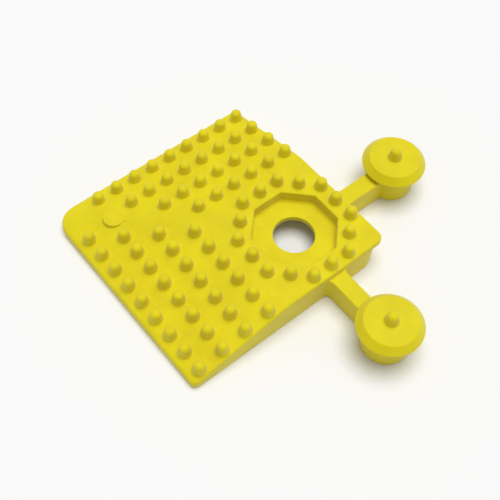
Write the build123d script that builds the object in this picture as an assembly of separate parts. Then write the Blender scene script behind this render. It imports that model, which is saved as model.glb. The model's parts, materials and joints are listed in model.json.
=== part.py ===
from build123d import *

import math
import os

# Corner ramp tile, in millimetres. The plate's outer corner is at the origin while it is
# modelled; everything is moved to the centre of the footprint when it is written.

# plate
PLATE = 127.0
HEIGHT = 19.0
EDGE = 5.0
RAMP = 58.0
SKIN = 3.3
WALL = 4.0
OUTER_CORNER = 12.7
SIDE_CORNER = 4.0
INNER_CORNER = 7.0
INNER_WALL_CORNER = 12.7
TOP_ROUND = 0.8

# recess and hole
HOLE_INSET = 34.0
HOLE_R = 11.35
RECESS_APOTHEM = 22.4
RECESS_DEPTH = 6.3
COLLAR = 3.0
FOOT_R = 3.0
FOOT_INSET = 2.9

# studs
STUD_R = 3.8
STUD_TIP_R = 3.05
STUD_H = 6.6
STUD_ROOT = 2.0
COLUMN_PITCH = 12.1
ROW_PITCH = 14.5
COLUMN_INSET = 4.8
ROW_INSET = 7.0
DIAGONAL_GAP = 10.0
RING_GAP = 6.6

# moulded boss on the plain diagonal strip
BOSS_R = 5.75
BOSS_AT = 24.0
BOSS_RISE = 0.2

# ribs below the ramps
RIB = 2.5
HIP_RIB = 3.0
SHORTEST_RIB = 15.0

# arms and plugs
ARM_WIDTH = 10.0
ARM_SPLIT = 13.0
ARM_FILLET = 2.5
PLUG_REACH = 39.0
STEM_R = 13.2
RIM_OVERHANG = 4.5
RIM_LAND = 0.9
BEVEL = 3.5
HEAD_LIFT = 2.1
HEAD_H = 5.0
RIM_ROUND = 0.5
FACE_ROUND = 0.8
STEM_ROUND = 0.6

# places and sizes that follow from the ones above
HOLE_AT = PLATE - HOLE_INSET
RING_APOTHEM = RECESS_APOTHEM + RING_GAP
ARM_TOP = HEIGHT - SKIN
RIM_R = STEM_R + RIM_OVERHANG
FACE_R = RIM_R - BEVEL
RIM_Z = ARM_TOP + HEAD_LIFT
FACE_Z = RIM_Z + HEAD_H
SPAN = PLATE + PLUG_REACH + RIM_R
RECESS_TOP = HEIGHT - RECESS_DEPTH
RECESS_UNDER = RECESS_TOP - SKIN
TALL = HEIGHT + 20.0


def surface_z(x, y):
    """Height of the tile's top surface over a point of its plan."""
    return EDGE + (HEIGHT - EDGE) * min(x, y, RAMP) / RAMP


def mirrored(shape):
    """The same shape on the other side of the diagonal."""
    return shape.mirror(Plane((0, 0, 0), z_dir=(1, -1, 0)))


def slopes(drop):
    """Everything below the two ramps and the flat, with the surface lowered by drop."""
    margin = 5.0
    rise = (HEIGHT - EDGE) / RAMP
    far = PLATE + margin
    profile = Polyline(
        (-margin, -margin),
        (far, -margin),
        (far, HEIGHT - drop),
        (RAMP, HEIGHT - drop),
        (-margin, EDGE - drop - rise * margin),
        close=True,
    )
    south = extrude(Plane.YZ * make_face(profile), amount=far + margin)
    south = Pos(-margin, 0, 0) * south
    return south & mirrored(south)


def outline(inset, outer, inner):
    """Plan of the plate with its rounded corners, shrunk by inset on every side."""
    side = PLATE - 2 * inset
    plan = Pos(PLATE / 2, PLATE / 2) * Rectangle(side, side)
    corners = plan.vertices().sort_by(lambda v: v.X + v.Y)
    radii = (outer, SIDE_CORNER, SIDE_CORNER, inner)
    for corner, radius in zip(corners, radii):
        if radius - inset > 0.1:
            near = plan.vertices().sort_by_distance(corner)[0]
            plan = fillet(near, radius - inset)
    return plan


def prism(plan):
    """A plan drawn out from the floor to well above the tile."""
    return extrude(plan, amount=TALL)


def octagon(apothem, low, high):
    """Upright octagonal block round the hole, with flats facing the plate's edges."""
    side = RegularPolygon(apothem, 8, major_radius=False, rotation=22.5)
    return extrude(Pos(HOLE_AT, HOLE_AT, low) * side, amount=high - low)


def on_border(edge):
    """Whether an edge of the plate's block runs along the top of its sides."""
    middle = edge @ 0.5
    box = edge.bounding_box().size
    if box.X + box.Y < 0.5 or middle.Z < EDGE - 0.1:
        return False
    if min(middle.X, middle.Y, PLATE - middle.X, PLATE - middle.Y) < 0.01:
        return True
    reach = math.hypot(middle.X - OUTER_CORNER, middle.Y - OUTER_CORNER)
    if max(middle.X, middle.Y) < OUTER_CORNER and reach > OUTER_CORNER - 0.01:
        return True
    return edge.geom_type != GeomType.LINE


def top_skins():
    """Thin skin in three pieces: the flat deck, the south ramp and the west ramp."""
    block = prism(outline(0, OUTER_CORNER, INNER_CORNER)) & slopes(0)
    block = fillet([e for e in block.edges() if on_border(e)], TOP_ROUND)
    skin = block - slopes(SKIN) - octagon(RECESS_APOTHEM, 0, TALL)
    flat = PLATE - RAMP
    deck = Pos(RAMP + flat / 2, RAMP + flat / 2) * Rectangle(flat, flat)
    south = make_face(Polyline((0, 0), (PLATE, 0), (PLATE, RAMP), (RAMP, RAMP), close=True))
    return [skin & prism(plan) for plan in (deck, south, mirrored(south))]


def walls():
    """The four side walls: south, east, north and west, mitred at the corners."""
    outer = prism(outline(0, OUTER_CORNER, INNER_WALL_CORNER))
    ring = (outer - inside_walls()) & slopes(SKIN)
    middle = (PLATE / 2, PLATE / 2)
    corners = ((0, 0), (PLATE, 0), (PLATE, PLATE), (0, PLATE))
    pieces = []
    for i in range(4):
        triangle = Polyline(corners[i], corners[(i + 1) % 4], middle, close=True)
        pieces.append(ring & prism(make_face(triangle)))
    return pieces


def inside_walls():
    """The room between the four side walls."""
    return prism(outline(WALL, OUTER_CORNER, INNER_WALL_CORNER))


def recess_collar():
    """Octagonal collar that hangs from the skin round the recess."""
    outside = octagon(RECESS_APOTHEM + COLLAR, RECESS_UNDER, ARM_TOP)
    ring = outside - octagon(RECESS_APOTHEM, RECESS_UNDER, ARM_TOP)
    return ring & slopes(SKIN) & inside_walls()


def recess_floor():
    """Thin octagonal floor of the recess with its round drain hole."""
    plate = octagon(RECESS_APOTHEM, RECESS_UNDER, RECESS_TOP)
    return plate - Pos(HOLE_AT, HOLE_AT, HEIGHT / 2) * Cylinder(HOLE_R, HEIGHT)


def recess_feet():
    """Eight round feet that carry the recess floor."""
    ring = RECESS_APOTHEM - FOOT_INSET
    feet = []
    for i in range(8):
        angle = math.radians(22.5 + 45 * i)
        x = HOLE_AT + ring * math.cos(angle)
        y = HOLE_AT + ring * math.sin(angle)
        feet.append(Pos(x, y, RECESS_UNDER / 2) * Cylinder(FOOT_R, RECESS_UNDER))
    return Compound(children=feet)


def hip_rib():
    """Upright rib under the diagonal, from the outer corner to the collar."""
    length = HOLE_AT * math.sqrt(2)
    bar = Rot(0, 0, 45) * Pos(length / 2, 0, TALL / 2) * Box(length, HIP_RIB, TALL)
    return (bar & inside_walls() & slopes(SKIN)) - octagon(RECESS_APOTHEM + COLLAR, 0, TALL)


def south_ribs():
    """Upright ribs that run up the south ramp in every second gap between the stud columns."""
    ribs = []
    x = PLATE - COLUMN_INSET - COLUMN_PITCH / 2
    to_hip = RIB / 2 + HIP_RIB / math.sqrt(2)
    while x - to_hip - WALL > SHORTEST_RIB:
        length = min(RAMP, x - to_hip) - WALL
        bar = Pos(x, WALL + length / 2, TALL / 2) * Box(RIB, length, TALL)
        ribs.append((bar & slopes(SKIN)) - octagon(RECESS_APOTHEM + COLLAR, 0, TALL))
        x -= 2 * COLUMN_PITCH
    return Compound(children=[s for rib in ribs for s in rib.solids()])


def stud():
    """Blunt stud on its own axis, with a root that sinks below the surface it stands on."""
    tip_base = STUD_H - STUD_TIP_R
    dome = STUD_TIP_R * math.sqrt(0.5)
    root = -STUD_ROOT
    side = Polyline((0, root), (STUD_R, root), (STUD_R, 0), (STUD_TIP_R, tip_base))
    cap = ThreePointArc((STUD_TIP_R, tip_base), (dome, tip_base + dome), (0, STUD_H))
    axis = Line((0, STUD_H), (0, root))
    return revolve(Plane.XZ * make_face(side + cap + axis), Axis.Z)


def studs_at(places):
    """Separate studs that stand on the tile's surface at the given plan points."""
    below = slopes(0)
    pieces = [Pos(x, y, surface_z(x, y)) * stud() - below for x, y in places]
    return Compound(children=[s for piece in pieces for s in piece.solids()])


def south_studs():
    """Rows of studs up the south ramp, each as long as the plain diagonal strip allows."""
    places = []
    top = min(RAMP, HOLE_AT - RING_APOTHEM - STUD_R)
    y = ROW_INSET
    while y + STUD_R < top:
        x = PLATE - COLUMN_INSET
        while x - y > DIAGONAL_GAP:
            places.append((x, y))
            x -= COLUMN_PITCH
        y += ROW_PITCH
    return studs_at(places)


def ring_studs():
    """Sixteen studs on an octagon round the recess: its corners and its middles."""
    corner = RING_APOTHEM / math.cos(math.radians(22.5))
    places = []
    for i in range(16):
        reach = RING_APOTHEM if i % 2 == 0 else corner
        angle = math.radians(22.5 * i)
        places.append((HOLE_AT + reach * math.cos(angle), HOLE_AT + reach * math.sin(angle)))
    return studs_at(places)


def corner_boss():
    """Low round boss with a level top that comes out of the ramps on the diagonal."""
    uphill = BOSS_AT + BOSS_R / math.sqrt(2)
    top = surface_z(uphill, uphill) + BOSS_RISE
    return Pos(BOSS_AT, BOSS_AT, top / 2) * Cylinder(BOSS_R, top) - slopes(0)


def arm_root():
    """Inner half of the north arm, flared where it leaves the wall."""
    half = ARM_WIDTH / 2
    flare = half + ARM_FILLET
    sweep = ARM_FILLET * (1 - math.sqrt(0.5))
    right = ThreePointArc((flare, 0), (half + sweep, sweep), (half, ARM_FILLET))
    left = ThreePointArc((-half, ARM_FILLET), (-half - sweep, sweep), (-flare, 0))
    rest = Polyline((half, ARM_FILLET), (half, ARM_SPLIT), (-half, ARM_SPLIT), (-half, ARM_FILLET))
    foot = Line((-flare, 0), (flare, 0))
    plan = make_face(right + rest + left + foot)
    return Pos(HOLE_AT, PLATE, 0) * extrude(plan, amount=ARM_TOP)


def arm_tip():
    """Outer half of the north arm, hollowed to fit against the stem."""
    length = PLUG_REACH - ARM_SPLIT
    bar = Box(ARM_WIDTH, length, ARM_TOP)
    bar = Pos(HOLE_AT, PLATE + ARM_SPLIT + length / 2, ARM_TOP / 2) * bar
    return bar - Pos(HOLE_AT, PLATE + PLUG_REACH, 0) * Cylinder(STEM_R, 2 * TALL)


def stem():
    """Round stem of the north plug, standing on the floor."""
    post = Pos(HOLE_AT, PLATE + PLUG_REACH, RIM_Z / 2) * Cylinder(STEM_R, RIM_Z)
    return fillet(post.edges().sort_by(Axis.Z)[0], STEM_ROUND)


def head():
    """Cone-sided head of the north plug, wider than its stem."""
    land = RIM_Z + RIM_LAND
    half = Polyline(
        (0, RIM_Z), (RIM_R, RIM_Z), (RIM_R, land), (FACE_R, FACE_Z), (0, FACE_Z), close=True
    )
    cone = revolve(Plane.XZ * make_face(half), Axis.Z)
    rims = cone.edges().filter_by(GeomType.CIRCLE).sort_by(Axis.Z)
    cone = fillet(rims[-1], FACE_ROUND)
    rims = cone.edges().filter_by(GeomType.CIRCLE).sort_by(Axis.Z)
    cone = fillet(rims[0], RIM_ROUND)
    return Pos(HOLE_AT, PLATE + PLUG_REACH, 0) * cone


def nub():
    """Stud on top of the north plug."""
    whole = Pos(HOLE_AT, PLATE + PLUG_REACH, FACE_Z) * stud()
    return whole - Pos(HOLE_AT, PLATE + PLUG_REACH, FACE_Z / 2) * Cylinder(RIM_R, FACE_Z)


def write(name, shape):
    """Writes one sub-part in the row frame, centred on the footprint."""
    moved = Pos(-SPAN / 2, -SPAN / 2, 0) * shape
    solids = moved.solids()
    piece = solids[0] if len(solids) == 1 else Compound(children=solids)
    export_step(piece, os.path.join("parts", name + ".step"))


def write_pair(north_name, east_name, shape):
    """Writes a sub-part and its mirror image across the diagonal."""
    write(north_name, shape)
    write(east_name, mirrored(shape))


def main():
    """Writes every sub-part of the tile."""
    os.makedirs("parts", exist_ok=True)
    for name, skin in zip(("deck_skin", "south_ramp_skin", "west_ramp_skin"), top_skins()):
        write(name, skin)
    for name, wall in zip(("south_rim", "east_wall", "north_wall", "west_rim"), walls()):
        write(name, wall)
    write("recess_collar", recess_collar())
    write("recess_floor", recess_floor())
    write("recess_feet", recess_feet())
    write("hip_rib", hip_rib())
    write_pair("south_ribs", "west_ribs", south_ribs())
    write_pair("south_studs", "west_studs", south_studs())
    write("ring_studs", ring_studs())
    write("corner_boss", corner_boss())
    write_pair("north_arm_root", "east_arm_root", arm_root())
    write_pair("north_arm_tip", "east_arm_tip", arm_tip())
    write_pair("north_stem", "east_stem", stem())
    write_pair("north_head", "east_head", head())
    write_pair("north_nub", "east_nub", nub())


main()
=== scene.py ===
"""Corner ramp tile of an interlocking rubber mat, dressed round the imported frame.

The tile is one yellow rubber moulding: two mitred ramps that climb to a flat deck, an octagonal
recess with a drain hole, rows of blunt studs, and two flexible arms that end in mushroom plugs.
Sizes are in metres on the frame's own axes, where the tile's diagonal is the line x = y.
"""

import json
import logging
import math
from dataclasses import dataclass, field
from enum import Enum
from typing import Callable, Iterator, Sequence

import bmesh
import bpy
from mathutils import Matrix, Vector
from mathutils.geometry import delaunay_2d_cdt
from mathutils.kdtree import KDTree


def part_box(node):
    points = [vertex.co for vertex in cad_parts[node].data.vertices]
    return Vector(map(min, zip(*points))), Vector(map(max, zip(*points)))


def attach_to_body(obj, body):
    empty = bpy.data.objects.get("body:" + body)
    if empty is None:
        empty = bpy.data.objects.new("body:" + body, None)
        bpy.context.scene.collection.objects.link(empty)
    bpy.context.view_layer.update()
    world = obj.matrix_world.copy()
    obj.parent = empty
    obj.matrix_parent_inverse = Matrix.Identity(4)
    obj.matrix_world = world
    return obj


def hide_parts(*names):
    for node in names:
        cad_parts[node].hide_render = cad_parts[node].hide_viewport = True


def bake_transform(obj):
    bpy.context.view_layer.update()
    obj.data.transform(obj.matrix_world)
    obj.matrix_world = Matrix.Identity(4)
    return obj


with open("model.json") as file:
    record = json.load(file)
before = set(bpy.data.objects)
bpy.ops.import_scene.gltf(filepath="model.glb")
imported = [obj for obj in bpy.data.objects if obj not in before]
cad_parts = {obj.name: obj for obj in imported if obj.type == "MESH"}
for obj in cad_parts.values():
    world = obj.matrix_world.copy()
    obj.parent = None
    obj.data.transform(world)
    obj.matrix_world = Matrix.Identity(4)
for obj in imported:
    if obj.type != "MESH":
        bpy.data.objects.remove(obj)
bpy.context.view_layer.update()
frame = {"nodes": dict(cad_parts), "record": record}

MM = 0.001
OCTAGON = 8
OCTAGON_TURN = math.pi / OCTAGON
SHARP_ANGLE = math.radians(42)
SHADING_WEIGHT = 50
WELD = 1e-6
SOCKETS = {int: "NodeSocketInt", float: "NodeSocketFloat", tuple: "NodeSocketVector",
           bpy.types.Object: "NodeSocketObject", bpy.types.Material: "NodeSocketMaterial"}
FILL_INSIDE = 1
FILL_PRECISION = 1e-5
FILL_CLEARANCE = 0.6
SWAP = Matrix(((0, 1, 0, 0), (1, 0, 0, 0), (0, 0, 1, 0), (0, 0, 0, 1)))

Piece = bpy.types.Object
Material = bpy.types.Material
Socket = bpy.types.NodeSocket
Vertex = bmesh.types.BMVert
Plan = list[Vector]
Ring = list[Vertex]
Height = Callable[[Vector], float]

log = logging.getLogger("tile")


class Side(Enum):
    """The two inner sides of the tile, which mirror one another across its diagonal."""

    NORTH = "north"
    EAST = "east"


class Ramp(Enum):
    """The two ramps, which mirror one another across the diagonal."""

    SOUTH = "south"
    WEST = "west"


# ---- plans and profiles


def quarter_round(radius: float, steps: int) -> Iterator[tuple[float, float]]:
    """Goes round a quarter circle that is tangent to two sides.

    Args:
        radius: The circle's radius.
        steps: Number of steps along it.

    Yields:
        The distances of each point from the side it leaves and from the side it comes to.
    """
    for k in range(steps + 1):
        turn = math.pi / 2 * k / steps
        yield radius * (1 - math.cos(turn)), radius * (1 - math.sin(turn))


@dataclass(frozen=True)
class Corner:
    """One corner of a line: where it is, where its path starts, and how it is rounded."""

    tip: Vector
    reach: float
    radius: float
    steps: int


def corner_path(before: Vector, corner: Corner, after: Vector) -> Plan:
    """Points along a rounded corner, evenly spaced.

    Args:
        before: Any point on the side that comes into the corner.
        corner: The corner, with the path's ends at its reach from the tip.
        after: Any point on the side that leaves it.

    Returns:
        The points, from the start to the end of the path.
    """
    tip, reach, radius = corner.tip, corner.reach, corner.radius
    along, away = (tip - before).normalized(), (after - tip).normalized()
    turn = along.angle(away)
    inward = (away - along * along.dot(away)).normalized()
    straight = reach - radius * math.tan(turn / 2)
    start = tip - along * reach
    centre = start + along * straight + inward * radius
    total = 2 * straight + radius * turn
    points = []
    for i in range(corner.steps + 1):
        gone = total * i / corner.steps
        if gone <= straight:
            points.append(start + along * gone)
        elif gone >= total - straight:
            points.append(tip + away * (reach - (total - gone)))
        else:
            angle = (gone - straight) / radius
            points.append(centre - inward * radius * math.cos(angle)
                          + along * radius * math.sin(angle))
    return points


def rounded_plan(corners: Sequence[Corner], parts: Callable[[float], int]) -> Plan:
    """Counter-clockwise outline with rounded corners and evenly divided sides.

    Args:
        corners: The corners in order.
        parts: Into how many parts a side of some length is divided.

    Returns:
        The outline's points.
    """
    plan: Plan = []
    for i, corner in enumerate(corners):
        before, after = corners[i - 1], corners[(i + 1) % len(corners)]
        plan += corner_path(before.tip, corner, after.tip)
        away = (after.tip - corner.tip).normalized()
        start, end = corner.tip + away * corner.reach, after.tip - away * after.reach
        count = parts((end - start).length)
        plan += [start.lerp(end, k / count) for k in range(1, count)]
    return plan


def inset(plan: Plan, distance: float) -> Plan:
    """Moves every side of a plan inwards.

    Args:
        plan: The plan, counter-clockwise.
        distance: How far each side moves, negative for outwards.

    Returns:
        The moved plan.
    """
    moved = []
    for i, point in enumerate(plan):
        along = (point - plan[i - 1]).normalized()
        away = (plan[(i + 1) % len(plan)] - point).normalized()
        first, second = Vector((-along.y, along.x)), Vector((-away.y, away.x))
        moved.append(point + (first + second) * (distance / (1 + first.dot(second))))
    return moved


def circle(centre: Vector, radius: float, steps: int) -> Plan:
    """Points round a circle, counter-clockwise."""
    turns = (2 * math.pi * i / steps for i in range(steps))
    return [centre + Vector((math.cos(a), math.sin(a))) * radius for a in turns]


def rounded_profile(points: Sequence[tuple[float, float, float]], steps: int = 5) -> Plan:
    """Open profile with its inner corners rounded.

    Args:
        points: Distance from the axis, height and rounding of each corner.
        steps: Number of steps round each rounding.

    Returns:
        The profile's points as (distance from the axis, height).
    """
    corners = [Vector(point[:2]) for point in points]
    profile = [corners[0]]
    for before, tip, after, point in zip(corners, corners[1:], corners[2:], points[1:]):
        radius = point[2]
        reach = radius * math.tan((tip - before).angle(after - tip) / 2)
        corner = Corner(tip, reach, radius, steps)
        profile += corner_path(before, corner, after) if radius else [tip]
    profile.append(corners[-1])
    return profile


# ---- meshes


class Draft:
    """A mesh under construction, made of rings of points that are bridged or filled."""

    def __init__(self) -> None:
        """Starts an empty mesh."""
        self.mesh = bmesh.new()

    def ring(self, plan: Plan, height: Height | list[float] | float) -> Ring:
        """Lays a ring of points over a plan.

        Args:
            plan: The ring's points as seen from above.
            height: A function of the point, a height for each point, or one height for all.

        Returns:
            The new vertices.
        """
        if callable(height):
            levels = [height(p) for p in plan]
        else:
            levels = height if isinstance(height, list) else [height] * len(plan)
        return [self.mesh.verts.new((p.x, p.y, z)) for p, z in zip(plan, levels)]

    def bridge(self, *rings: Ring) -> None:
        """Joins each ring to the next one with a band of quads.

        Args:
            rings: Rings of equal length, in order.
        """
        for first, second in zip(rings, rings[1:]):
            for i in range(len(first)):
                self.mesh.faces.new((first[i - 1], first[i], second[i], second[i - 1]))

    def cap(self, ring: Ring) -> None:
        """Closes a ring with triangles that meet at its middle.

        Args:
            ring: The ring to close.
        """
        hub = self.mesh.verts.new(sum((v.co for v in ring), Vector()) / len(ring))
        for i in range(len(ring)):
            self.mesh.faces.new((ring[i - 1], ring[i], hub))

    def fill(self, outer: Ring, holes: Sequence[Ring], height: Height, spacing: float) -> None:
        """Covers the area between an outer ring and some holes with near-even triangles.

        Args:
            outer: The ring round the area.
            holes: Rings inside it that stay open.
            height: Height of a new point over its plan.
            spacing: Distance between the new points.
        """
        border = [*outer, *(v for hole in holes for v in hole)]
        edges, start = [], 0
        for ring in (outer, *holes):
            count = len(ring)
            edges += [(start + i, start + (i + 1) % count) for i in range(count)]
            start += count
        near = KDTree(len(border))
        for i, vert in enumerate(border):
            near.insert((vert.co.x, vert.co.y, 0), i)
        near.balance()
        low = [min(v.co[axis] for v in outer) for axis in (0, 1)]
        high = [max(v.co[axis] for v in outer) for axis in (0, 1)]
        counts = [math.ceil((high[axis] - low[axis]) / spacing) for axis in (0, 1)]
        inner = []
        for i in range(1, counts[0]):
            for j in range(1, counts[1]):
                point = Vector((low[0] + (high[0] - low[0]) * i / counts[0],
                                low[1] + (high[1] - low[1]) * j / counts[1]))
                clear = near.find(point.to_3d())[2] > FILL_CLEARANCE * spacing
                if clear and within(outer, point) and not any(within(h, point) for h in holes):
                    inner.append(point)
        flat = [v.co.xy / MM for v in border] + [p / MM for p in inner]
        places, _, faces, sources, _, _ = delaunay_2d_cdt(flat, edges, [], FILL_INSIDE,
                                                          FILL_PRECISION)
        verts: list[Vertex] = []
        for place, source in zip(places, sources):
            if source and source[0] < len(border):
                verts.append(border[source[0]])
            else:
                point = place * MM
                verts.append(self.mesh.verts.new((point.x, point.y, height(point))))
        open_rings = [set(hole) for hole in holes]
        for face in faces:
            corners = [verts[k] for k in face]
            if not any(ring.issuperset(corners) for ring in open_rings):
                self.mesh.faces.new(corners)

    def revolve(self, profile: Plan, centre: Vector, steps: int,
                lift: Callable[[Vector, float], float] | None = None) -> None:
        """Turns a profile round an upright axis and closes both ends.

        Args:
            profile: Points as (distance from the axis, height), from the bottom to the top.
            centre: Where the axis stands.
            steps: Number of steps round the axis.
            lift: Optional extra height, from a point's plan and its profile height.
        """
        rings = [self.ring(circle(centre, reach, steps),
                           lambda p, h=level: h + (lift(p, h) if lift else 0.0))
                 for reach, level in profile]
        self.bridge(*rings)
        self.cap(rings[0])
        self.cap(rings[-1])

    def finish(self, name: str, material: Material | None = None) -> Piece:
        """Welds and closes the mesh and turns it into a smooth-shaded object.

        Args:
            name: The piece's name.
            material: The piece's material, unless it gets one later.

        Returns:
            The new object, at the origin.
        """
        bmesh.ops.remove_doubles(self.mesh, verts=self.mesh.verts, dist=WELD)
        bmesh.ops.dissolve_degenerate(self.mesh, edges=self.mesh.edges, dist=WELD)
        bmesh.ops.recalc_face_normals(self.mesh, faces=self.mesh.faces)
        for face in self.mesh.faces:
            face.smooth = True
        for edge in self.mesh.edges:
            edge.smooth = edge.calc_face_angle(0.0) < SHARP_ANGLE
        data = bpy.data.meshes.new(name)
        self.mesh.to_mesh(data)
        self.mesh.free()
        if material:
            data.materials.append(material)
        return placed(name, data)


def within(ring: Ring, point: Vector) -> bool:
    """Whether a plan point lies inside a convex counter-clockwise ring."""
    return all((b.co.xy - a.co.xy).cross(point - a.co.xy) > 0 for a, b in zip(ring, ring[1:]))


def middle(node: str) -> Vector:
    """The plan point at the middle of a frame node's box."""
    low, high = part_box(node)
    return Vector(((low.x + high.x) / 2, (low.y + high.y) / 2))


def placed(name: str, data: bpy.types.Mesh) -> Piece:
    """A scene object for a finished mesh."""
    piece = bpy.data.objects.new(name, data)
    bpy.context.scene.collection.objects.link(piece)
    return piece


def mirrored(piece: Piece, name: str) -> Piece:
    """Copies a piece to the other side of the tile's diagonal, facing outwards.

    Args:
        piece: The piece, without modifiers that the copy needs.
        name: The copy's name.

    Returns:
        The copy.
    """
    data = piece.data.copy()
    data.name = name
    data.transform(SWAP)
    data.flip_normals()
    return placed(name, data)


def even_shading(piece: Piece) -> None:
    """Keeps large faces flat beside their roundings.

    Args:
        piece: The piece to shade.
    """
    modifier = piece.modifiers.new("even_shading", "WEIGHTED_NORMAL")
    modifier.keep_sharp = True
    modifier.weight = SHADING_WEIGHT


# ---- node graphs


class Graph:
    """Adds and links the nodes of one tree."""

    def __init__(self, tree: bpy.types.NodeTree) -> None:
        """Keeps the tree that the nodes go into."""
        self.tree = tree

    def add(self, kind: str, inputs: dict[str | int, object] | None = None,
            **settings: object) -> bpy.types.Node:
        """Adds a node.

        Args:
            kind: The node's type.
            inputs: For each input, by name or number, a value or a socket to link.
            settings: The node's own settings.

        Returns:
            The node.
        """
        node = self.tree.nodes.new(kind)
        for name, value in settings.items():
            setattr(node, name, value)
        for key, value in (inputs or {}).items():
            if isinstance(value, Socket):
                self.tree.links.new(value, node.inputs[key])
            else:
                node.inputs[key].default_value = value
        return node

    def math(self, operation: str, first: object, second: object) -> Socket:
        """The result of one sum on two values or sockets."""
        return self.add("ShaderNodeMath", {0: first, 1: second}, operation=operation).outputs[0]


@dataclass
class Recipe:
    """A geometry tree with named inputs, and the value that each one gets on a modifier."""

    name: str
    values: dict[str, object]
    keys: dict[str, str] = field(init=False, default_factory=dict)
    graph: Graph = field(init=False)
    given: bpy.types.NodeOutputs = field(init=False)

    def __post_init__(self) -> None:
        """Starts the tree and gives it its inputs."""
        tree = bpy.data.node_groups.new(self.name, "GeometryNodeTree")
        for name, value in self.values.items():
            socket = tree.interface.new_socket(name, in_out="INPUT",
                                               socket_type=SOCKETS[type(value)])
            self.keys[name] = socket.identifier
        tree.interface.new_socket("Geometry", in_out="OUTPUT", socket_type="NodeSocketGeometry")
        self.graph = Graph(tree)
        self.given = tree.nodes.new("NodeGroupInput").outputs

    def spread(self, points: Socket) -> Piece:
        """Ends the tree with a dressed copy of its Part on each point, and runs it once.

        Args:
            points: Geometry whose points carry the copies.

        Returns:
            The copies as one plain mesh, with no modifier on it.
        """
        part = self.graph.add("GeometryNodeObjectInfo", {"Object": self.given["Part"]})
        copies = self.graph.add("GeometryNodeInstanceOnPoints", {
            "Points": points, "Instance": part.outputs["Geometry"]})
        real = self.graph.add("GeometryNodeRealizeInstances", {0: copies.outputs[0]})
        dressed = self.graph.add("GeometryNodeSetMaterial", {
            "Geometry": real.outputs[0], "Material": self.given["Finish"]})
        self.graph.add("NodeGroupOutput", {0: dressed.outputs[0]})
        holder = placed(self.name + "_maker", bpy.data.meshes.new(self.name + "_maker"))
        modifier = holder.modifiers.new("maker", "NODES")
        modifier.node_group = self.graph.tree
        for key, value in self.values.items():
            modifier[self.keys[key]] = value
        evaluated = holder.evaluated_get(bpy.context.evaluated_depsgraph_get())
        data = bpy.data.meshes.new_from_object(evaluated)
        data.name = self.name
        bpy.data.objects.remove(holder)
        bpy.data.objects.remove(self.values["Part"])
        return placed(self.name, data)


# ---- finishes


@dataclass(frozen=True)
class Pattern:
    """A noise whose patches are about as wide as its size."""

    size: float
    detail: float
    roughness: float

    def height(self, graph: Graph, place: Socket) -> Socket:
        """Adds the noise to a material and gives its value."""
        return graph.add("ShaderNodeTexNoise", {
            "Vector": place, "Scale": 1 / self.size, "Detail": self.detail,
            "Roughness": self.roughness}).outputs["Fac"]


@dataclass(frozen=True)
class RubberFinish:
    """Matte moulded rubber: fine moulding grain, soft waves and a slight change of shade."""

    name: str
    colour: tuple[float, float, float]
    shade: tuple[float, float, float]
    roughness: float = 0.56
    roughness_spread: float = 0.10
    grain: Pattern = Pattern(0.55 * MM, 2.0, 0.6)
    grain_depth: float = 0.06 * MM
    wave: Pattern = Pattern(3.2 * MM, 3.0, 0.5)
    wave_range: tuple[float, float] = (0.3, 0.7)
    wave_depth: float = 0.16 * MM
    mottle: Pattern = Pattern(14 * MM, 4.0, 0.55)
    mottle_range: tuple[float, float] = (0.32, 0.68)
    specular: float = 0.15
    sheen: float = 0.22
    sheen_roughness: float = 0.5

    def material(self) -> Material:
        """Builds the material, with every pattern on object coordinates.

        Returns:
            The material.
        """
        made = bpy.data.materials.new(self.name)
        made.use_nodes = True
        made.node_tree.nodes.clear()
        graph = Graph(made.node_tree)
        place = graph.add("ShaderNodeTexCoord").outputs["Object"]
        mottle, grain, wave = (pattern.height(graph, place)
                               for pattern in (self.mottle, self.grain, self.wave))
        patches = graph.add("ShaderNodeMapRange", {
            "Value": mottle, "From Min": self.mottle_range[0], "From Max": self.mottle_range[1]})
        tint = graph.add("ShaderNodeMix", {0: patches.outputs[0], 6: (*self.colour, 1),
                                           7: (*self.shade, 1)}, data_type="RGBA")
        half_spread = self.roughness_spread / 2
        spread = graph.add("ShaderNodeMapRange", {
            "Value": wave, "From Min": self.wave_range[0], "From Max": self.wave_range[1],
            "To Min": self.roughness - half_spread, "To Max": self.roughness + half_spread})
        rough = graph.add("ShaderNodeBump", {"Height": wave, "Distance": self.wave_depth,
                                             "Strength": 1.0})
        fine = graph.add("ShaderNodeBump", {"Height": grain, "Distance": self.grain_depth,
                                            "Strength": 1.0, "Normal": rough.outputs[0]})
        shader = graph.add("ShaderNodeBsdfPrincipled", {
            "Base Color": tint.outputs[2], "Roughness": spread.outputs[0],
            "Normal": fine.outputs[0], "Specular IOR Level": self.specular,
            "Sheen Weight": self.sheen, "Sheen Roughness": self.sheen_roughness})
        graph.add("ShaderNodeOutputMaterial", {"Surface": shader.outputs[0]})
        return made


@dataclass(frozen=True)
class FloorFinish:
    """Plain pale floor."""

    name: str = "pale_floor"
    colour: tuple[float, float, float] = (0.89, 0.885, 0.88)
    roughness: float = 0.8
    specular: float = 0.1

    def material(self) -> Material:
        """Builds the material.

        Returns:
            The material.
        """
        made = bpy.data.materials.new(self.name)
        made.use_nodes = True
        shader = made.node_tree.nodes["Principled BSDF"]
        shader.inputs["Base Color"].default_value = (*self.colour, 1)
        shader.inputs["Roughness"].default_value = self.roughness
        shader.inputs["Specular IOR Level"].default_value = self.specular
        return made


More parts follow.
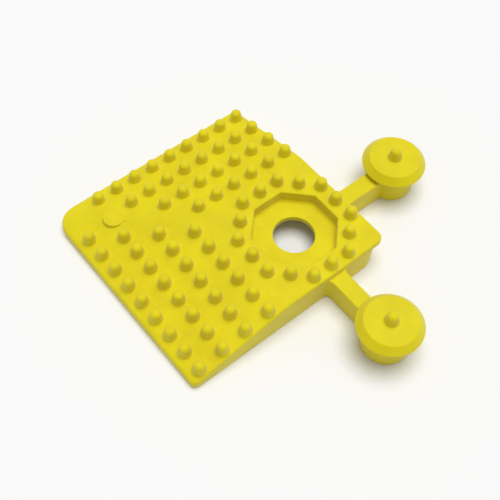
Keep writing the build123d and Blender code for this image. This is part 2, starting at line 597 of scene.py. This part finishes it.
@dataclass(frozen=True)
class Finishes:
    """The materials that the pieces share."""

    tread: Material
    smooth: Material

    @classmethod
    def build(cls) -> "Finishes":
        """Makes each material once.

        Returns:
            The finishes.
        """
        tread = RubberFinish("tread_rubber", (0.775, 0.665, 0.002), (0.695, 0.58, 0.003))
        smooth = RubberFinish("smooth_rubber", (0.765, 0.655, 0.002), (0.70, 0.59, 0.004),
                              roughness=0.5, grain_depth=0.03 * MM)
        return cls(tread.material(), smooth.material())


# ---- the tile


@dataclass(frozen=True)
class TileLayout:
    """Where the tile lies and how large it is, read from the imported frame."""

    corner: float
    side: float
    height: float
    skin: float
    ramp: float
    edge: float = 5.0 * MM
    fold: float = 4.0 * MM
    wall: float = 4.0 * MM
    top_round: float = 1.2 * MM

    @classmethod
    def from_frame(cls) -> "TileLayout":
        """Reads the deck's and the rims' boxes.

        Returns:
            The layout.
        """
        deck_low, deck_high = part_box("deck_skin")
        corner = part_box("west_rim")[0].x
        return cls(corner, deck_high.x - corner, deck_high.z, deck_high.z - deck_low.z,
                   deck_low.x - corner)

    @property
    def rise(self) -> float:
        """Height gained for each metre up a ramp."""
        return (self.height - self.edge) / self.ramp

    @property
    def inner_edge(self) -> float:
        """Where the plate ends on the sides with the arms, on x as on y."""
        return self.corner + self.side

    def top(self, point: Vector) -> float:
        """Height of the surface over a plan point, with its folds softened."""
        across, up = point.x - self.corner, point.y - self.corner
        return self.edge + self.rise * self._soft_min(self._soft_min(across, up), self.ramp)

    def under(self, point: Vector) -> float:
        """Height of the skin's underside over a plan point."""
        return self.top(point) - self.skin

    def border_drop(self, point: Vector) -> float:
        """How far the border rounding has fallen below the surface.

        Args:
            point: A plan point.

        Returns:
            The drop there, zero away from the border.
        """
        across, up = point.x - self.corner, point.y - self.corner
        gap = max(min(across, up, self.side - across, self.side - up), 0.0)
        short = max(self.top_round - gap, 0.0)
        return self.top_round - math.sqrt(self.top_round ** 2 - short ** 2)

    def plan(self, across: float, up: float) -> Vector:
        """A plan point from its distances to the west and south edges."""
        return Vector((self.corner + across, self.corner + up))

    def _soft_min(self, first: float, second: float) -> float:
        """The smaller of two numbers, rounded where they are nearly equal."""
        near = max(self.fold - abs(first - second), 0) / self.fold
        return min(first, second) - near * near * self.fold / 4


@dataclass
class TileShell:
    """Ramps, deck, rims, walls and recess as the one hollow moulding that they are."""

    layout: TileLayout
    finish: Material
    outer_corner: float = 12.7 * MM
    side_corner: float = 3.2 * MM
    lip_corner: float = 5.0 * MM
    wall_corner: float = 12.7 * MM
    lip_round: float = 0.35 * MM
    lip_share: int = 3
    foot_round: float = 0.4 * MM
    recess_round: float = 0.7 * MM
    recess_corner: float = 1.6 * MM
    cove: float = 0.6 * MM
    hole_round: float = 0.45 * MM
    support: float = 0.3 * MM
    side_spacing: float = 2.6 * MM
    top_spacing: float = 2.3 * MM
    under_spacing: float = 5.0 * MM
    round_steps: int = 5
    small_steps: int = 3
    hole_steps: int = 72
    recess_corner_steps: int = 4
    corner_steps: tuple[int, int, int, int] = (16, 10, 24, 10)

    def build(self) -> Piece:
        """Makes the shell as one closed mesh and dresses it.

        Returns:
            The shell.
        """
        draft = Draft()
        border, under_border = self._outside(draft)
        mouth, under_mouth = self._recess(draft)
        draft.fill(border, [mouth], self.layout.top, self.top_spacing)
        draft.fill(under_border, [under_mouth], self.layout.under, self.under_spacing)
        shell = draft.finish("tile_shell", self.finish)
        even_shading(shell)
        return shell

    def _plan(self, inner_radius: float, inward: float = 0.0) -> Plan:
        """Outline of the plate, counter-clockwise from the outer corner.

        Args:
            inner_radius: Rounding of the corner between the arms.
            inward: How far the outline lies inside the plate's.

        Returns:
            The outline.
        """
        near, far = inward, self.layout.side - inward
        side_reach = max(self.side_corner, self.layout.wall)
        sizes = [
            ((near, near), self.outer_corner, self.outer_corner),
            ((far, near), side_reach, self.side_corner),
            ((far, far), self.wall_corner, inner_radius),
            ((near, far), side_reach, self.side_corner),
        ]
        return rounded_plan([
            Corner(self.layout.plan(*tip), reach - inward, max(radius - inward, 0.0), steps)
            for (tip, reach, radius), steps in zip(sizes, self.corner_steps)], self._parts)

    def _parts(self, length: float) -> int:
        """How many parts a side of some length is divided into."""
        return max(1, math.ceil(length / self.side_spacing))

    def _outside(self, draft: Draft) -> tuple[Ring, Ring]:
        """Border rounding, lip, outer wall, foot and inner wall.

        Args:
            draft: The mesh to add to.

        Returns:
            The rings at which the top surface and the skin's underside start.
        """
        layout = self.layout
        lip, wall = self._plan(self.lip_corner), self._plan(self.wall_corner)
        first = draft.ring(inset(lip, layout.top_round + self.support), layout.top)
        rings = [first]
        for drop, inward in quarter_round(layout.top_round, self.round_steps):
            rings.append(draft.ring(inset(lip, inward), lambda p, d=drop: layout.top(p) - d))
        widths = [(a - b).length for a, b in zip(lip, wall)]
        overhangs = [min(width / self.lip_share, self.lip_round) for width in widths]
        rings.append(draft.ring(lip, [layout.under(p) + over for p, over in zip(lip, overhangs)]))
        rings.append(draft.ring([a.lerp(b, over / max(width, WELD)) for a, b, over, width
                                 in zip(lip, wall, overhangs, widths)], layout.under))
        rings.append(draft.ring(wall, layout.under))
        for inward, level in quarter_round(self.foot_round, self.small_steps):
            rings.append(draft.ring(inset(wall, inward), level))
        inner = self._plan(self.wall_corner, layout.wall)
        rings.append(draft.ring(inner, 0.0))
        rings.append(draft.ring(inner, layout.under))
        draft.bridge(*rings)
        return first, rings[-1]

    def _recess(self, draft: Draft) -> tuple[Ring, Ring]:
        """Octagonal recess, its floor with the drain hole, and the collar round it.

        Args:
            draft: The mesh to add to.

        Returns:
            The rings at which the top surface and the skin's underside end.
        """
        layout, centre = self.layout, middle("recess_floor")
        low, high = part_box("recess_floor")
        collar_low, collar_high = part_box("recess_collar")
        inside = self._octagon(centre, (high.x - low.x) / 2)
        collar = self._octagon(centre, (collar_high.x - collar_low.x) / 2)
        first = draft.ring(inset(inside, -self.recess_round - self.support), layout.height)
        rings = [first]
        for drop, outward in quarter_round(self.recess_round, self.round_steps - 1):
            rings.append(draft.ring(inset(inside, -outward), layout.height - drop))
        for inward, rise in quarter_round(self.cove, self.small_steps):
            rings.append(draft.ring(inset(inside, inward), high.z + rise))
        edge_of_floor = draft.ring(inset(inside, self.cove + self.support), high.z)
        draft.bridge(*rings, edge_of_floor)
        hole = self._hole(draft, centre, low.z, high.z)
        draft.fill(edge_of_floor, [hole[0]], lambda _: high.z, self.top_spacing)
        foot = draft.ring(inset(collar, self.lip_round), low.z)
        skirt = [foot, draft.ring(collar, low.z + self.lip_round),
                 draft.ring(collar, layout.under)]
        draft.bridge(*skirt)
        draft.fill(foot, [hole[-1]], lambda _: low.z, self.under_spacing)
        return first, skirt[-1]

    def _hole(self, draft: Draft, centre: Vector, bottom: float, top: float) -> list[Ring]:
        """Wall of the drain hole, with rounded edges.

        Args:
            draft: The mesh to add to.
            centre: Where the hole's axis stands.
            bottom: Height of the floor's underside.
            top: Height of the floor.

        Returns:
            The wall's rings, from the top to the bottom.
        """
        radius = self.hole_radius()
        profile = [(radius + self.hole_round + self.support, top)]
        profile += [(radius + outward, top - drop)
                    for drop, outward in quarter_round(self.hole_round, self.small_steps)]
        profile += [(radius, bottom + self.lip_round), (radius + self.lip_round, bottom)]
        rings = [draft.ring(circle(centre, reach, self.hole_steps), level)
                 for reach, level in profile]
        draft.bridge(*rings)
        return rings

    def hole_radius(self) -> float:
        """Radius of the drain hole, from the record's bore."""
        bore = next(m for m in frame["record"]["mounts"] if m["kind"] == "bore")
        return bore["dims"]["r_mm"] * MM

    def _octagon(self, centre: Vector, apothem: float) -> Plan:
        """Octagon with slightly rounded corners and flats that face the plate's sides.

        Args:
            centre: Its middle.
            apothem: Distance from the middle to each flat.

        Returns:
            The octagon's outline.
        """
        tips = circle(Vector((0, 0)), apothem / math.cos(OCTAGON_TURN), OCTAGON)
        turn = Matrix.Rotation(OCTAGON_TURN, 2)
        start = self.recess_corner * math.tan(OCTAGON_TURN)
        return rounded_plan([Corner(centre + turn @ tip, start, self.recess_corner,
                                    self.recess_corner_steps) for tip in tips], self._parts)


# ---- studs


@dataclass(frozen=True)
class StudShape:
    """Blunt moulded stud with a domed tip and a small fillet where it meets the surface."""

    radius: float = 3.8 * MM
    tip_radius: float = 3.05 * MM
    height: float = 6.6 * MM
    fillet: float = 0.55 * MM
    fillet_steps: int = 4
    foot: float = 0.06 * MM
    skirt: float = 0.3 * MM
    root: float = 1.2 * MM
    root_inset: float = 0.5 * MM
    steps: int = 28
    dome_steps: int = 8
    squareness: float = 2.5

    def profile(self) -> Plan:
        """The stud's half outline from its root to its tip.

        Returns:
            Points as (distance from the axis, height).
        """
        tip_base = self.height - self.tip_radius
        outer = self.radius + self.fillet
        points = rounded_profile([
            (self.radius - self.root_inset, -self.root, 0),
            (outer + self.skirt, -self.foot, 0),
            (outer, self.foot / 2, 0),
            (self.radius, self.foot, self.fillet),
            (self.tip_radius, tip_base, 0)], self.fillet_steps)
        for k in range(1, self.dome_steps):
            turn = math.pi / 2 * k / self.dome_steps
            out, up = (wave(turn) ** (2 / self.squareness) for wave in (math.cos, math.sin))
            points.append(Vector((self.tip_radius * out, tip_base + self.tip_radius * up)))
        return points

    def build(self, name: str, slope: float) -> Piece:
        """Makes one stud at the origin.

        Args:
            name: The stud's name.
            slope: How much the surface under it climbs along +Y.

        Returns:
            The stud, whose foot follows the slope while its tip stays level.
        """
        def lift(point: Vector, level: float) -> float:
            """Leans the foot and leaves the tip level."""
            return slope * point.y * max(0.0, 1 - max(level, 0) / (self.height - self.tip_radius))

        draft = Draft()
        draft.revolve(self.profile(), Vector((0, 0)), self.steps, lift)
        return draft.finish(name)


@dataclass
class StudRows:
    """Rows of studs up a ramp, clear of the plain strip along the diagonal."""

    layout: TileLayout
    finish: Material
    shape: StudShape = StudShape()
    columns: int = 10
    rows: int = 4
    column_pitch: float = 12.1 * MM
    row_pitch: float = 14.5 * MM
    column_inset: float = 4.8 * MM
    row_inset: float = 7.0 * MM
    diagonal_gap: float = 10.0 * MM
    settle: float = 0.7 * MM

    def build(self) -> dict[Ramp, Piece]:
        """Makes the south rows with geometry nodes and mirrors them for the west ramp.

        Returns:
            The rows of each ramp.
        """
        layout = self.layout
        first = layout.plan(layout.side - self.column_inset, self.row_inset)
        recipe = Recipe("south_stud_rows", {
            "Part": self.shape.build("ramp_stud", layout.rise),
            "Columns": self.columns,
            "Rows": self.rows,
            "Column Pitch": self.column_pitch,
            "Row Pitch": self.row_pitch,
            "First Stud": (*first, 0.0),
            "Ramp Foot": layout.edge - layout.rise * layout.corner,
            "Rise": layout.rise,
            "Diagonal Gap": self.diagonal_gap,
            "Finish": self.finish,
        })
        south = recipe.spread(self._points(recipe.graph, recipe.given))
        self._settle(south.data)
        return {Ramp.SOUTH: south, Ramp.WEST: mirrored(south, "west_stud_rows")}

    def _settle(self, data: bpy.types.Mesh) -> None:
        """Lets the feet of the outermost studs follow the rounding of the border.

        Args:
            data: The rows' mesh, which is changed.
        """
        for vert in data.vertices:
            above = vert.co.z - self.layout.top(vert.co)
            share = min(max(1 - above / self.settle, 0.0), 1.0)
            vert.co.z -= share * self.layout.border_drop(vert.co)

    @staticmethod
    def _points(graph: Graph, given: bpy.types.NodeOutputs) -> Socket:
        """Grid of points on the slope, thinned along the diagonal.

        Args:
            graph: The tree's graph.
            given: The tree's inputs.

        Returns:
            The geometry that holds the points.
        """
        wide, deep = (
            graph.math("MULTIPLY", graph.math("SUBTRACT", given[count], 1.0), given[pitch])
            for count, pitch in (("Columns", "Column Pitch"), ("Rows", "Row Pitch")))
        grid = graph.add("GeometryNodeMeshGrid", {
            "Size X": wide, "Size Y": deep,
            "Vertices X": given["Columns"], "Vertices Y": given["Rows"]})
        half_grid = graph.add("ShaderNodeCombineXYZ", {
            0: graph.math("MULTIPLY", wide, -0.5), 1: graph.math("MULTIPLY", deep, 0.5)})
        offset = graph.add("ShaderNodeVectorMath", {
            0: given["First Stud"], 1: half_grid.outputs[0]})
        flat = graph.add("GeometryNodeSetPosition", {
            "Geometry": grid.outputs["Mesh"], "Offset": offset.outputs[0]})
        place = graph.add("ShaderNodeSeparateXYZ", {
            0: graph.add("GeometryNodeInputPosition").outputs[0]})
        level = graph.math("ADD", graph.math("MULTIPLY", place.outputs["Y"], given["Rise"]),
                           given["Ramp Foot"])
        raised = graph.add("GeometryNodeSetPosition", {
            "Geometry": flat.outputs[0],
            "Offset": graph.add("ShaderNodeCombineXYZ", {2: level}).outputs[0]})
        past = graph.add("FunctionNodeCompare", {
            0: graph.math("SUBTRACT", place.outputs["X"], place.outputs["Y"]),
            1: given["Diagonal Gap"]}, operation="LESS_THAN")
        return graph.add("GeometryNodeDeleteGeometry", {
            "Geometry": raised.outputs[0], "Selection": past.outputs[0]}).outputs[0]


@dataclass
class PartRing:
    """Copies of a part on the corners of a level ring whose flats face the plate's sides."""

    name: str
    part: Piece
    finish: Material
    centre: Vector
    radius: float
    count: int = OCTAGON
    halvings: int = 0

    def build(self) -> Piece:
        """Makes the ring with geometry nodes.

        Returns:
            The copies as one piece.
        """
        recipe = Recipe(self.name, {
            "Part": self.part,
            "Count": self.count,
            "Radius": self.radius,
            "Centre": tuple(self.centre),
            "Turn": (0.0, 0.0, math.pi / self.count),
            "Halvings": self.halvings,
            "Finish": self.finish,
        })
        graph, given = recipe.graph, recipe.given
        ring = graph.add("GeometryNodeMeshCircle", {
            "Vertices": given["Count"], "Radius": given["Radius"]})
        turned = graph.add("GeometryNodeTransform", {
            "Geometry": ring.outputs[0], "Translation": given["Centre"],
            "Rotation": given["Turn"]})
        points = graph.add("GeometryNodeSubdivideMesh", {
            0: turned.outputs[0], "Level": given["Halvings"]})
        return recipe.spread(points.outputs[0])


@dataclass
class StudRing:
    """Studs on the corners and the middles of an octagon round the recess."""

    layout: TileLayout
    finish: Material
    shape: StudShape = StudShape()
    apothem: float = 29.0 * MM

    def build(self) -> Piece:
        """Makes the ring of studs.

        Returns:
            The studs as one piece.
        """
        centre = Vector((*middle("recess_floor"), self.layout.height))
        stud = self.shape.build("deck_stud", 0.0)
        return PartRing("recess_stud_ring", stud, self.finish, centre,
                        self.apothem / math.cos(OCTAGON_TURN), halvings=1).build()


@dataclass
class RecessFeet:
    """Short round feet that carry the recess floor, kept out of sight of the drain hole."""

    finish: Material
    radius: float = 3.0 * MM
    sole_radius: float = 1.5 * MM
    sole_round: float = 0.5 * MM
    ring_radius: float = 20.5 * MM
    embed: float = 0.8 * MM
    steps: int = 32

    def build(self) -> Piece:
        """Makes the ring of feet.

        Returns:
            The feet as one piece.
        """
        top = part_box("recess_feet")[1].z + self.embed
        draft = Draft()
        draft.revolve(rounded_profile([
            (self.sole_radius, 0.0, 0), (self.radius, 0.0, self.sole_round),
            (self.radius, top, 0)]), Vector((0, 0)), self.steps)
        return PartRing("recess_feet_ring", draft.finish("recess_foot"), self.finish,
                        middle("recess_feet").to_3d(), self.ring_radius).build()


@dataclass
class CornerBoss:
    """Low round boss with a level top and a plain raised ring, and the small pip beside it."""

    layout: TileLayout
    finish: Material
    across: float = 24.0 * MM
    radius: float = 5.75 * MM
    rise: float = 0.25 * MM
    top_round: float = 0.45 * MM
    top_flatness: float = 0.6
    top_steps: int = 4
    top_clear: float = 0.02 * MM
    least_rise: float = 0.2 * MM
    face_inset: float = 0.4 * MM
    fillet: float = 0.4 * MM
    fillet_flatness: float = 0.5
    fillet_steps: int = 3
    skirt: float = 0.2 * MM
    skirt_depth: float = 0.06 * MM
    root_inset: float = 1.0 * MM
    root_depth: float = 1.5 * MM
    steps: int = 64
    ridge_radius: float = 3.6 * MM
    ridge_width: float = 0.9 * MM
    ridge_height: float = 0.16 * MM
    ridge_outline: tuple[tuple[float, float], ...] = (
        (1.0, 0.0), (0.5, 0.8), (0.0, 1.0), (-0.5, 0.8), (-1.0, 0.0))
    pip_at: tuple[float, float] = (29.5 * MM, 27.7 * MM)
    pip_radius: float = 0.85 * MM
    pip_foot_radius: float = 1.02 * MM
    pip_foot_depths: tuple[float, float] = (0.4 * MM, 0.02 * MM)
    pip_height: float = 0.6 * MM
    pip_steps: int = 20
    pip_dome_steps: int = 5

    def build(self) -> Piece:
        """Makes the boss and its pip as one piece.

        Returns:
            The piece.
        """
        draft = Draft()
        self._disc(draft)
        self._pip(draft)
        boss = draft.finish("corner_boss_disc", self.finish)
        even_shading(boss)
        return boss

    def _disc(self, draft: Draft) -> None:
        """Level disc whose side comes down to the ramps in a small fillet.

        Args:
            draft: The mesh to add to.
        """
        surface, centre = self.layout.top, self.layout.plan(self.across, self.across)
        uphill = self.across + self.radius / math.sqrt(2)
        top = surface(self.layout.plan(uphill, uphill)) + self.rise

        def around(reach: float, height: Height | float) -> Ring:
            """A ring about the boss's axis."""
            return draft.ring(circle(centre, reach, self.steps), height)

        def side(reach: float, above: float) -> Ring:
            """A ring that follows the ramps but never passes the top."""
            return around(reach, lambda p: min(surface(p) + above, top - self.top_clear))

        rings = [around(self.radius - self.root_inset, lambda p: surface(p) - self.root_depth),
                 side(self.radius + self.fillet + self.skirt, -self.skirt_depth)]
        for above, outward in quarter_round(self.fillet, self.fillet_steps):
            rings.append(side(self.radius + outward, above * self.fillet_flatness))
        for inward, drop in quarter_round(self.top_round, self.top_steps):
            level = top - drop * self.top_flatness
            rings.append(around(self.radius - inward, lambda p, z=level: max(
                z, min(surface(p) + self.least_rise, top))))
        rings.append(around(self.radius - self.top_round - self.face_inset, top))
        for away, above in self.ridge_outline:
            rings.append(around(self.ridge_radius + self.ridge_width / 2 * away,
                                top + above * self.ridge_height))
        draft.bridge(*rings)
        draft.cap(rings[0])
        draft.cap(rings[-1])

    def _pip(self, draft: Draft) -> None:
        """Small round pip on the ramp.

        Args:
            draft: The mesh to add to.
        """
        profile = [Vector((self.pip_foot_radius, -depth)) for depth in self.pip_foot_depths]
        for k in range(self.pip_dome_steps):
            turn = math.pi / 2 * k / self.pip_dome_steps
            profile.append(Vector((self.pip_radius * math.cos(turn),
                                   self.pip_height * math.sin(turn))))
        draft.revolve(profile, self.layout.plan(*self.pip_at), self.pip_steps,
                      lambda p, _: self.layout.top(p))


# ---- arms and plugs


@dataclass
class FlexArm:
    """Rubber arm in two halves that meet end to end, modelled on the north side."""

    layout: TileLayout
    finish: Material
    flare: float = 2.5 * MM
    top_round: float = 0.7 * MM
    foot_round: float = 0.4 * MM
    foot_gap: float = 0.08 * MM
    embed: float = 1.5 * MM
    step: float = 1.0 * MM
    round_steps: tuple[int, int] = (3, 5)
    side_parts: int = 5

    def build(self) -> dict[Side, list[Piece]]:
        """Makes both halves of both arms.

        Returns:
            The root half and the tip half of each side's arm.
        """
        root_low, root_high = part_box("north_arm_root")
        tip_low, tip_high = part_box("north_arm_tip")
        half = (tip_high.x - tip_low.x) / 2
        root = self._strap("north_arm_root_strap", half, root_low.y - self.embed,
                           root_high.y, root_high.z)
        tip = self._strap("north_arm_tip_strap", half, root_high.y, tip_high.y + self.embed,
                          tip_high.z)
        east = [mirrored(piece, piece.name.replace("north", "east")) for piece in (root, tip)]
        return {Side.NORTH: [root, tip], Side.EAST: east}

    def half_width(self, half: float, out: float) -> float:
        """Half the strap's width, which flares at its root.

        Args:
            half: Half its width away from the wall.
            out: Distance from the wall.

        Returns:
            Half its width there.
        """
        if out >= self.flare:
            return half
        gone = self.flare - max(out, 0.0)
        return half + self.flare - math.sqrt(max(self.flare ** 2 - gone ** 2, 0.0))

    def _strap(self, name: str, half: float, start: float, end: float,
               top: float) -> Piece:
        """Strap with rounded edges, cut into short steps along its length.

        Args:
            name: The piece's name.
            half: Half its width away from the wall.
            start: y at which it starts.
            end: y at which it ends.
            top: Height of its top.

        Returns:
            The strap.
        """
        draft = Draft()
        centre_line = middle("north_arm_tip").x
        count = round((end - start) / self.step)
        rings = []
        for i in range(count + 1):
            along = start + (end - start) * i / count
            section = self._section(self.half_width(half, along - self.layout.inner_edge), top)
            rings.append([draft.mesh.verts.new((centre_line + p.x, along, p.y))
                          for p in section])
        draft.bridge(*rings)
        draft.cap(rings[0])
        draft.cap(rings[-1])
        strap = draft.finish(name, self.finish)
        even_shading(strap)
        return strap

    def _section(self, half: float, top: float) -> Plan:
        """Upright cross-section with rounded top and bottom edges.

        Args:
            half: Half its width.
            top: Height of its top.

        Returns:
            The section, as (across, height).
        """
        foot_steps, top_steps = self.round_steps
        corners = [(-half, self.foot_gap, self.foot_round, foot_steps),
                   (half, self.foot_gap, self.foot_round, foot_steps),
                   (half, top, self.top_round, top_steps),
                   (-half, top, self.top_round, top_steps)]
        return rounded_plan([Corner(Vector((across, level)), radius, radius, steps)
                             for across, level, radius, steps in corners],
                            lambda _: self.side_parts)


@dataclass
class SnapPlug:
    """Mushroom plug: round stem, cone-sided head and one stud on its face."""

    finish: Material
    tread: Material
    nub_shape: StudShape = StudShape(radius=4.0 * MM, tip_radius=3.2 * MM)
    stem_round: float = 0.6 * MM
    stem_core: float = 3.0 * MM
    stem_straight: float = 2.0 * MM
    into_head: float = 0.5 * MM
    rim_land: float = 0.9 * MM
    rim_round: float = 0.45 * MM
    rim_top_round: float = 0.35 * MM
    face_round: float = 0.9 * MM
    bevel: float = 3.5 * MM
    head_core: tuple[float, float] = (6.0 * MM, 3.0 * MM)
    steps: int = 96

    def build(self) -> dict[Side, dict[str, Piece]]:
        """Makes stem, head and nub of the north plug and mirrors them for the east one.

        Returns:
            Each side's pieces by the name of their part.
        """
        north = {"stem": self._stem(), "head": self._head(), "nub": self._nub()}
        east = {part: mirrored(piece, piece.name.replace("north", "east"))
                for part, piece in north.items()}
        for piece in (*north.values(), *east.values()):
            even_shading(piece)
        return {Side.NORTH: north, Side.EAST: east}

    def _turned(self, name: str, points: Sequence[tuple[float, float, float]]) -> Piece:
        """A closed body turned round the stem's axis.

        Args:
            name: The body's name.
            points: Distance from the axis, height and rounding of each corner.

        Returns:
            The body.
        """
        draft = Draft()
        draft.revolve(rounded_profile(points), middle("north_stem"), self.steps)
        return draft.finish(name, self.finish)

    def _stem(self) -> Piece:
        """Makes the stem, which stands on the floor and goes a little way into the head.

        Returns:
            The stem.
        """
        low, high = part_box("north_stem")
        radius = (high.x - low.x) / 2
        return self._turned("north_plug_stem", [
            (radius - self.stem_core, 0.0, 0), (radius, 0.0, self.stem_round),
            (radius, high.z - self.stem_straight, 0), (radius, high.z + self.into_head, 0)])

    def _head(self) -> Piece:
        """Makes the head, with a narrow upright rim and a cone that ends in its flat face.

        Returns:
            The head.
        """
        low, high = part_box("north_head")
        rim = (high.x - low.x) / 2
        face = rim - self.bevel
        under_core, face_core = self.head_core
        return self._turned("north_plug_head", [
            (face - under_core, low.z, 0), (rim, low.z, self.rim_round),
            (rim, low.z + self.rim_land, self.rim_top_round),
            (face, high.z, self.face_round), (face - face_core, high.z, 0)])

    def _nub(self) -> Piece:
        """Makes the stud in the middle of the head.

        Returns:
            The stud.
        """
        nub = self.nub_shape.build("north_plug_nub", 0.0)
        base = Vector((*middle("north_stem"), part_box("north_head")[1].z))
        nub.data.transform(Matrix.Translation(base))
        nub.data.materials.append(self.tread)
        return nub


# ---- underside


@dataclass
class Underside:
    """Ribs below the skin, which keep their frame shapes."""

    finish: Material
    nodes: tuple[str, ...] = ("hip_rib", "south_ribs", "west_ribs")

    def dress(self) -> None:
        """Gives each node the moulding's finish."""
        for name in self.nodes:
            data = frame["nodes"][name].data
            data.materials.clear()
            data.materials.append(self.finish)


# ---- studio


@dataclass
class Studio:
    """Pale floor, soft lights and the camera."""

    azimuth: float = 48.05
    elevation: float = 57.48
    roll: float = 3.34
    distance: float = 490.35 * MM
    target: tuple[float, float, float] = (-11.78 * MM, -18.14 * MM, 0.0)
    lens: float = 64.8
    sensor: float = 36.0
    floor_size: float = 12.0
    floor_level: float = -0.02 * MM
    sky_colour: tuple[float, float, float] = (0.98, 0.99, 1.0)
    sky_strength: float = 0.42
    light_azimuth: float = 190.0
    light_elevation: float = 80.0
    light_spread: float = 44.0
    light_strength: float = 2.1
    clip: tuple[float, float] = (0.01, 20.0)

    def build(self) -> None:
        """Sets up floor, light and camera."""
        self._floor()
        self._world()
        self._overhead_light()
        self._camera()
        bpy.context.scene.view_settings.view_transform = "Standard"

    def _floor(self) -> None:
        """Makes a large square floor, just below the tile so that the two never coincide."""
        half = self.floor_size / 2
        data = bpy.data.meshes.new("floor")
        data.from_pydata([(-half, -half, 0), (half, -half, 0), (half, half, 0),
                          (-half, half, 0)], [], [(0, 1, 2, 3)])
        data.materials.append(FloorFinish().material())
        floor = placed("floor", data)
        floor.location.z = self.floor_level

    def _world(self) -> None:
        """Lights everything evenly from all round."""
        world = bpy.data.worlds.new("studio")
        world.use_nodes = True
        background = world.node_tree.nodes["Background"]
        background.inputs["Color"].default_value = (*self.sky_colour, 1)
        background.inputs["Strength"].default_value = self.sky_strength
        bpy.context.scene.world = world

    @staticmethod
    def _direction(azimuth: float, elevation: float) -> Vector:
        """Unit vector from the tile towards a place in the studio, from angles in degrees."""
        a, e = math.radians(azimuth), math.radians(elevation)
        return Vector((math.sin(a) * math.cos(e), -math.cos(a) * math.cos(e), math.sin(e)))

    def _overhead_light(self) -> None:
        """Hangs a broad light overhead that falls evenly on the tile and on the floor."""
        data = bpy.data.lights.new("overhead_light", "SUN")
        data.energy, data.angle = self.light_strength, math.radians(self.light_spread)
        light = bpy.data.objects.new("overhead_light", data)
        away = self._direction(self.light_azimuth, self.light_elevation)
        light.rotation_euler = away.to_track_quat("Z", "Y").to_euler()
        bpy.context.scene.collection.objects.link(light)

    def _camera(self) -> None:
        """Points a camera down on the tile's inner side with a slight roll."""
        data = bpy.data.cameras.new("camera")
        data.lens, data.sensor_width = self.lens, self.sensor
        camera = bpy.data.objects.new("camera", data)
        back = self._direction(self.azimuth, self.elevation)
        level = (-back).cross(Vector((0, 0, 1))).normalized()
        upright = level.cross(-back)
        c, s = math.cos(math.radians(self.roll)), math.sin(math.radians(self.roll))
        right, up = c * level + s * upright, c * upright - s * level
        turn = Matrix((right, up, back)).transposed().to_4x4()
        camera.matrix_world = Matrix.Translation(Vector(self.target) + back * self.distance) @ turn
        data.clip_start, data.clip_end = self.clip
        bpy.context.scene.collection.objects.link(camera)
        bpy.context.scene.camera = camera


# ---- assembly


def attach(piece: Piece, body: str, *nodes: str) -> None:
    """Puts a piece on its body in place of the nodes that it stands for.

    Args:
        piece: The finished piece.
        body: The body that it rides on.
        nodes: The frame's nodes that it stands for.
    """
    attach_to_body(piece, body)
    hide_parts(*nodes)
    log.info("%s on %s: %d faces", piece.name, body, len(piece.data.polygons))


def attach_arm(side: Side, layout: TileLayout, straps: Sequence[Piece]) -> None:
    """Bakes the two halves of an arm in place and hides the frame nodes that they stand for.

    Args:
        side: The side that the arm is on.
        layout: The tile's layout.
        straps: The root half and the tip half.
    """
    name = side.value
    axis = 1 if side is Side.NORTH else 0
    bodies = ["tile", f"{name}_arm", f"{name}_plug"]
    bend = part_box(f"{name}_arm_root")[1][axis]
    spans = {"root": (layout.inner_edge, bend), "tip": (bend, 2 * bend - layout.inner_edge)}
    for i, (piece, part) in enumerate(zip(straps, ("root", "tip"))):
        low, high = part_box(f"{name}_arm_{part}")
        start, end = (low + high) / 2, (low + high) / 2
        start[axis], end[axis] = spans[part]
        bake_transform(piece)
        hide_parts(f"{name}_arm_{part}")
        log.info("%s between %s and %s", piece.name, bodies[i], bodies[i + 1])


def main() -> None:
    """Builds the tile piece by piece, then the studio round it."""
    logging.basicConfig(level=logging.INFO, format="%(name)s: %(message)s")
    layout = TileLayout.from_frame()
    finishes = Finishes.build()
    attach(TileShell(layout, finishes.tread).build(), "tile", "deck_skin", "south_ramp_skin",
           "west_ramp_skin", "south_rim", "west_rim", "north_wall", "east_wall", "recess_collar",
           "recess_floor")
    rows = StudRows(layout, finishes.tread).build()
    for ramp, piece in rows.items():
        even_shading(piece)
        attach(piece, "tile", f"{ramp.value}_studs")
    ring = StudRing(layout, finishes.tread).build()
    even_shading(ring)
    attach(ring, "tile", "ring_studs")
    attach(CornerBoss(layout, finishes.tread).build(), "tile", "corner_boss")
    Underside(finishes.smooth).dress()
    attach(RecessFeet(finishes.smooth).build(), "tile", "recess_feet")
    for side, straps in FlexArm(layout, finishes.smooth).build().items():
        attach_arm(side, layout, straps)
    for side, parts in SnapPlug(finishes.smooth, finishes.tread).build().items():
        for part, piece in parts.items():
            attach(piece, f"{side.value}_plug", f"{side.value}_{part}")
    Studio().build()


if __name__ == "__main__":
    main()
